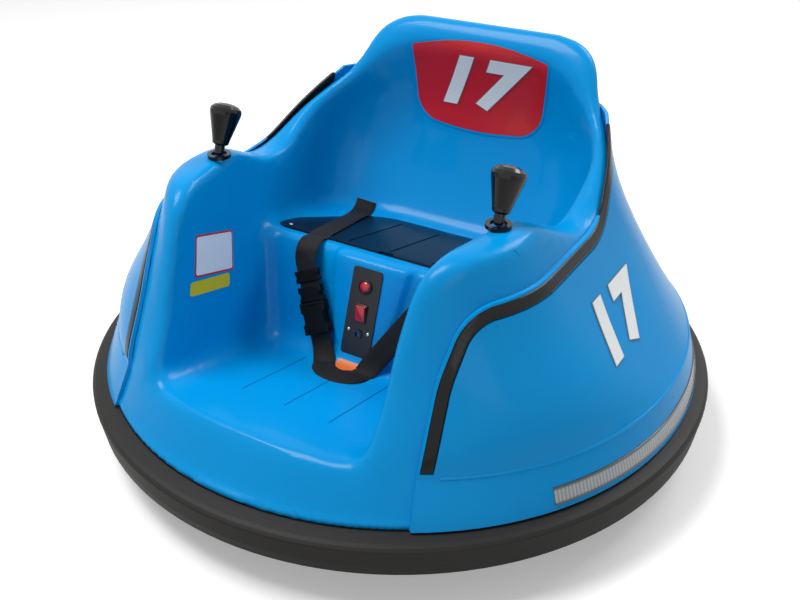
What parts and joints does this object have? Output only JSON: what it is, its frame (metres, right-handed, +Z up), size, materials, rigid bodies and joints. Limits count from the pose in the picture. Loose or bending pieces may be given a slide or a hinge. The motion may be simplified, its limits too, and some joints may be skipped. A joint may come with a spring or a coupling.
{
  "type": "ride-on bumper car",
  "caption": "Child's round ride-on bumper car: soft ring bumper, bell-shaped body with cockpit seat, footwell, tall backrest, armrest joysticks, drive wheels and swivel casters.",
  "frame": {"origin": "on the floor under the centre of the bumper ring", "axes": "+Z up, the car faces -Y, +X is the rider's left, X = 0 is the mirror plane of the body"},
  "size_m": [0.7299, 0.73, 0.418],
  "materials": {
    "body_blue": "glossy injection-moulded blue",
    "ring_black": "soft black plastic, satin",
    "tray_black": "fine grained",
    "strip_dark": "smoked glossy diffuser",
    "lens_clear": "clear ribbed plastic",
    "cover_navy": "grained, grooved",
    "panel_black": "semi-gloss",
    "light_red": "translucent red",
    "rocker_red": "translucent red",
    "socket_black": "plain",
    "webbing_black": "woven",
    "buckle_black": "satin",
    "joystick_black": "glossy",
    "collar_black": "glossy",
    "gearbox_black": "plain",
    "tyre_black": "hard plastic",
    "hub_grey": "plain",
    "steel": "zinc plated",
    "caster_tread": "nylon",
    "battery_grey": "plain"
  },
  "bodies": {
    "car_body": {"base_lens_left": "lens_clear", "base_lens_right": "lens_clear", "base_tray": "tray_black", "battery": "battery_grey", "belt_diagonal": "webbing_black", "belt_left": "webbing_black", "belt_loop": "webbing_black", "belt_right": "webbing_black", "belt_slider": "buckle_black", "belt_tail": "webbing_black", "buckle_body": "buckle_black", "buckle_tongue": "buckle_black", "bumper_ring": "ring_black", "caster_mount_front": "steel", "caster_mount_rear": "steel", "charge_socket": "socket_black", "cockpit_tub": "body_blue", "drive_unit_left": "gearbox_black", "drive_unit_right": "gearbox_black", "joystick_collar_left": "collar_black", "joystick_collar_right": "collar_black", "light_strip_left": "strip_dark", "light_strip_right": "strip_dark", "outer_shell": "body_blue", "power_light": "light_red", "rocker_switch": "rocker_red", "seat_cover": "cover_navy", "switch_panel": "panel_black"},
    "caster_front": {"caster_fork_front": "steel", "caster_pin_front": "steel"},
    "caster_rear": {"caster_fork_rear": "steel", "caster_pin_rear": "steel"},
    "caster_wheel_front": {"caster_wheel_front": "caster_tread"},
    "caster_wheel_rear": {"caster_wheel_rear": "caster_tread"},
    "drive_wheel_left": {"drive_axle_left": "steel", "drive_hub_left": "hub_grey", "drive_tyre_left": "tyre_black"},
    "drive_wheel_right": {"drive_axle_right": "steel", "drive_hub_right": "hub_grey", "drive_tyre_right": "tyre_black"},
    "joystick_lever_left": {"joystick_left": "joystick_black"},
    "joystick_lever_right": {"joystick_right": "joystick_black"}
  },
  "joints": [
    {"name": "drive_spin_left", "type": "hinge", "parent": "car_body", "child": "drive_wheel_left", "pos_m": [0.194, 0.02, 0.055], "axis": [1, 0, 0], "continuous": true},
    {"name": "drive_spin_right", "type": "hinge", "parent": "car_body", "child": "drive_wheel_right", "pos_m": [-0.194, 0.02, 0.055], "axis": [1, 0, 0], "continuous": true},
    {"name": "caster_swivel_front", "type": "hinge", "parent": "car_body", "child": "caster_front", "pos_m": [0, -0.25, 0.056], "axis": [0, 0, 1], "continuous": true},
    {"name": "caster_roll_front", "type": "hinge", "parent": "caster_front", "child": "caster_wheel_front", "pos_m": [0, -0.234, 0.022], "axis": [1, 0, 0], "continuous": true},
    {"name": "caster_swivel_rear", "type": "hinge", "parent": "car_body", "child": "caster_rear", "pos_m": [0, 0.262, 0.056], "axis": [0, 0, 1], "continuous": true},
    {"name": "caster_roll_rear", "type": "hinge", "parent": "caster_rear", "child": "caster_wheel_rear", "pos_m": [0, 0.278, 0.022], "axis": [1, 0, 0], "continuous": true},
    {"name": "joystick_tilt_left", "type": "hinge", "parent": "car_body", "child": "joystick_lever_left", "pos_m": [0.171, -0.104, 0.3153], "axis": [1, 0, 0], "range_deg": [-12, 12], "stiffness_Nm_per_rad": 0.5},
    {"name": "joystick_tilt_right", "type": "hinge", "parent": "car_body", "child": "joystick_lever_right", "pos_m": [-0.171, -0.104, 0.3153], "axis": [1, 0, 0], "range_deg": [-12, 12], "stiffness_Nm_per_rad": 0.5}
  ]
}
